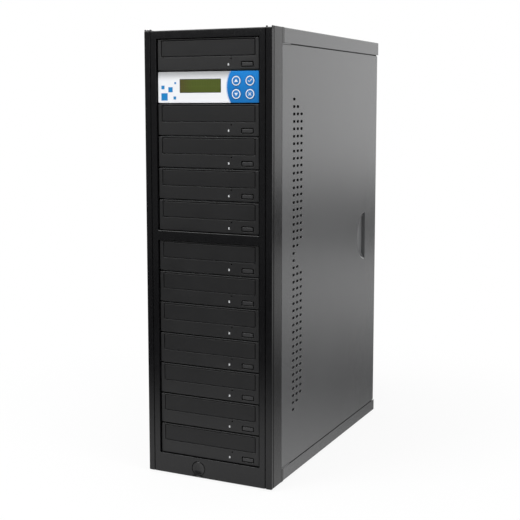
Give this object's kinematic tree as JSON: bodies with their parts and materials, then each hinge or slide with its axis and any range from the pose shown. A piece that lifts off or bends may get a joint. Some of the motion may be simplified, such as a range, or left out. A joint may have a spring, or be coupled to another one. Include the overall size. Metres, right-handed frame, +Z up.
{
  "type": "disc duplicator tower",
  "caption": "Free-standing black and grey tower that copies discs: stacked tray drives, a control panel with a small display, sliding side panels and a rear power supply.",
  "frame": {"origin": "on the floor below the middle of the case, feet included", "axes": "+Z up, -Y out of the front with the trays, +X to the right as one faces the front"},
  "size_m": [0.186, 0.402, 0.6003],
  "materials": {
    "bezel_plastic": "glossy black moulded plastic",
    "case_paint": "satin grey metallic paint",
    "bare_steel": "plain zinc-plated sheet steel",
    "drive_body": "fine matte charcoal face on a steel housing",
    "tray_plastic": "black moulded plastic, satin door",
    "button_plastic": "satin black moulded plastic",
    "panel_plastic": "white face with a blue printed zone",
    "key_plastic": "blue cap with a printed white icon",
    "display": "olive reflective display in a dark frame",
    "circuit_board": "green solder mask",
    "fan_plastic": "black moulded plastic",
    "wire_sleeve": "black braided loom",
    "foot_rubber": "matte black rubber"
  },
  "bodies": {
    "case": {"front_bezel": "bezel_plastic", "chassis": "case_paint", "top_cover": "case_paint", "drive_cage": "bare_steel", "control_panel": "panel_plastic", "lcd_module": "display", "controller_board": "circuit_board", "power_supply": "bare_steel", "case_fan_frame": "fan_plastic", "drive_cables": "wire_sleeve", "drive_01": "drive_body", "drive_02": "drive_body", "drive_03": "drive_body", "drive_04": "drive_body", "drive_05": "drive_body", "drive_06": "drive_body", "drive_07": "drive_body", "drive_08": "drive_body", "drive_09": "drive_body", "drive_10": "drive_body", "drive_11": "drive_body", "drive_12": "drive_body", "front_left_foot": "foot_rubber", "front_right_foot": "foot_rubber", "rear_left_foot": "foot_rubber", "rear_right_foot": "foot_rubber"},
    "tray_01": {"tray_01": "tray_plastic"},
    "tray_02": {"tray_02": "tray_plastic"},
    "tray_03": {"tray_03": "tray_plastic"},
    "tray_04": {"tray_04": "tray_plastic"},
    "tray_05": {"tray_05": "tray_plastic"},
    "tray_06": {"tray_06": "tray_plastic"},
    "tray_07": {"tray_07": "tray_plastic"},
    "tray_08": {"tray_08": "tray_plastic"},
    "tray_09": {"tray_09": "tray_plastic"},
    "tray_10": {"tray_10": "tray_plastic"},
    "tray_11": {"tray_11": "tray_plastic"},
    "tray_12": {"tray_12": "tray_plastic"},
    "eject_button_01": {"eject_button_01": "button_plastic"},
    "eject_button_02": {"eject_button_02": "button_plastic"},
    "eject_button_03": {"eject_button_03": "button_plastic"},
    "eject_button_04": {"eject_button_04": "button_plastic"},
    "eject_button_05": {"eject_button_05": "button_plastic"},
    "eject_button_06": {"eject_button_06": "button_plastic"},
    "eject_button_07": {"eject_button_07": "button_plastic"},
    "eject_button_08": {"eject_button_08": "button_plastic"},
    "eject_button_09": {"eject_button_09": "button_plastic"},
    "eject_button_10": {"eject_button_10": "button_plastic"},
    "eject_button_11": {"eject_button_11": "button_plastic"},
    "eject_button_12": {"eject_button_12": "button_plastic"},
    "key_up": {"key_up": "key_plastic"},
    "key_down": {"key_down": "key_plastic"},
    "key_enter": {"key_enter": "key_plastic"},
    "key_back": {"key_back": "key_plastic"},
    "power_button": {"power_button": "bezel_plastic"},
    "psu_rocker": {"psu_rocker": "button_plastic"},
    "psu_fan_rotor": {"psu_fan_rotor": "fan_plastic"},
    "case_fan_rotor": {"case_fan_rotor": "fan_plastic"},
    "left_side_panel": {"left_side_panel": "case_paint"},
    "right_side_panel": {"right_side_panel": "case_paint"}
  },
  "joints": [
    {"name": "tray_01_slide", "type": "slide", "parent": "case", "child": "tray_01", "axis": [0, -1, 0], "range_m": [0, 0.135]},
    {"name": "tray_02_slide", "type": "slide", "parent": "case", "child": "tray_02", "axis": [0, -1, 0], "range_m": [0, 0.135]},
    {"name": "tray_03_slide", "type": "slide", "parent": "case", "child": "tray_03", "axis": [0, -1, 0], "range_m": [0, 0.135]},
    {"name": "tray_04_slide", "type": "slide", "parent": "case", "child": "tray_04", "axis": [0, -1, 0], "range_m": [0, 0.135]},
    {"name": "tray_05_slide", "type": "slide", "parent": "case", "child": "tray_05", "axis": [0, -1, 0], "range_m": [0, 0.135]},
    {"name": "tray_06_slide", "type": "slide", "parent": "case", "child": "tray_06", "axis": [0, -1, 0], "range_m": [0, 0.135]},
    {"name": "tray_07_slide", "type": "slide", "parent": "case", "child": "tray_07", "axis": [0, -1, 0], "range_m": [0, 0.135]},
    {"name": "tray_08_slide", "type": "slide", "parent": "case", "child": "tray_08", "axis": [0, -1, 0], "range_m": [0, 0.135]},
    {"name": "tray_09_slide", "type": "slide", "parent": "case", "child": "tray_09", "axis": [0, -1, 0], "range_m": [0, 0.135]},
    {"name": "tray_10_slide", "type": "slide", "parent": "case", "child": "tray_10", "axis": [0, -1, 0], "range_m": [0, 0.135]},
    {"name": "tray_11_slide", "type": "slide", "parent": "case", "child": "tray_11", "axis": [0, -1, 0], "range_m": [0, 0.135]},
    {"name": "tray_12_slide", "type": "slide", "parent": "case", "child": "tray_12", "axis": [0, -1, 0], "range_m": [0, 0.135]},
    {"name": "eject_01_press", "type": "slide", "parent": "case", "child": "eject_button_01", "axis": [0, 1, 0], "range_m": [0, 0.001], "stiffness_N_per_m": 100, "springref_m": -0.003},
    {"name": "eject_02_press", "type": "slide", "parent": "case", "child": "eject_button_02", "axis": [0, 1, 0], "range_m": [0, 0.001], "stiffness_N_per_m": 100, "springref_m": -0.003},
    {"name": "eject_03_press", "type": "slide", "parent": "case", "child": "eject_button_03", "axis": [0, 1, 0], "range_m": [0, 0.001], "stiffness_N_per_m": 100, "springref_m": -0.003},
    {"name": "eject_04_press", "type": "slide", "parent": "case", "child": "eject_button_04", "axis": [0, 1, 0], "range_m": [0, 0.001], "stiffness_N_per_m": 100, "springref_m": -0.003},
    {"name": "eject_05_press", "type": "slide", "parent": "case", "child": "eject_button_05", "axis": [0, 1, 0], "range_m": [0, 0.001], "stiffness_N_per_m": 100, "springref_m": -0.003},
    {"name": "eject_06_press", "type": "slide", "parent": "case", "child": "eject_button_06", "axis": [0, 1, 0], "range_m": [0, 0.001], "stiffness_N_per_m": 100, "springref_m": -0.003},
    {"name": "eject_07_press", "type": "slide", "parent": "case", "child": "eject_button_07", "axis": [0, 1, 0], "range_m": [0, 0.001], "stiffness_N_per_m": 100, "springref_m": -0.003},
    {"name": "eject_08_press", "type": "slide", "parent": "case", "child": "eject_button_08", "axis": [0, 1, 0], "range_m": [0, 0.001], "stiffness_N_per_m": 100, "springref_m": -0.003},
    {"name": "eject_09_press", "type": "slide", "parent": "case", "child": "eject_button_09", "axis": [0, 1, 0], "range_m": [0, 0.001], "stiffness_N_per_m": 100, "springref_m": -0.003},
    {"name": "eject_10_press", "type": "slide", "parent": "case", "child": "eject_button_10", "axis": [0, 1, 0], "range_m": [0, 0.001], "stiffness_N_per_m": 100, "springref_m": -0.003},
    {"name": "eject_11_press", "type": "slide", "parent": "case", "child": "eject_button_11", "axis": [0, 1, 0], "range_m": [0, 0.001], "stiffness_N_per_m": 100, "springref_m": -0.003},
    {"name": "eject_12_press", "type": "slide", "parent": "case", "child": "eject_button_12", "axis": [0, 1, 0], "range_m": [0, 0.001], "stiffness_N_per_m": 100, "springref_m": -0.003},
    {"name": "key_up_press", "type": "slide", "parent": "case", "child": "key_up", "axis": [0, 1, 0], "range_m": [0, 0.0005], "stiffness_N_per_m": 150, "springref_m": -0.003},
    {"name": "key_down_press", "type": "slide", "parent": "case", "child": "key_down", "axis": [0, 1, 0], "range_m": [0, 0.0005], "stiffness_N_per_m": 150, "springref_m": -0.003},
    {"name": "key_enter_press", "type": "slide", "parent": "case", "child": "key_enter", "axis": [0, 1, 0], "range_m": [0, 0.0005], "stiffness_N_per_m": 150, "springref_m": -0.003},
    {"name": "key_back_press", "type": "slide", "parent": "case", "child": "key_back", "axis": [0, 1, 0], "range_m": [0, 0.0005], "stiffness_N_per_m": 150, "springref_m": -0.003},
    {"name": "power_button_press", "type": "slide", "parent": "case", "child": "power_button", "axis": [0, 1, 0], "range_m": [0, 0.002], "stiffness_N_per_m": 200, "springref_m": -0.003},
    {"name": "psu_rocker_tip", "type": "hinge", "parent": "case", "child": "psu_rocker", "pos_m": [0.048, 0.191, 0.0296], "axis": [1, 0, 0], "range_deg": [-16, 0]},
    {"name": "psu_fan_spin", "type": "hinge", "parent": "case", "child": "psu_fan_rotor", "pos_m": [-0.027, 0.18, 0.0466], "axis": [0, 1, 0], "continuous": true},
    {"name": "case_fan_spin", "type": "hinge", "parent": "case", "child": "case_fan_rotor", "pos_m": [0, 0.18, 0.2523], "axis": [0, 1, 0], "continuous": true},
    {"name": "left_panel_slide", "type": "slide", "parent": "case", "child": "left_side_panel", "axis": [0, 1, 0], "range_m": [0, 0.012]},
    {"name": "right_panel_slide", "type": "slide", "parent": "case", "child": "right_side_panel", "axis": [0, 1, 0], "range_m": [0, 0.012]}
  ]
}
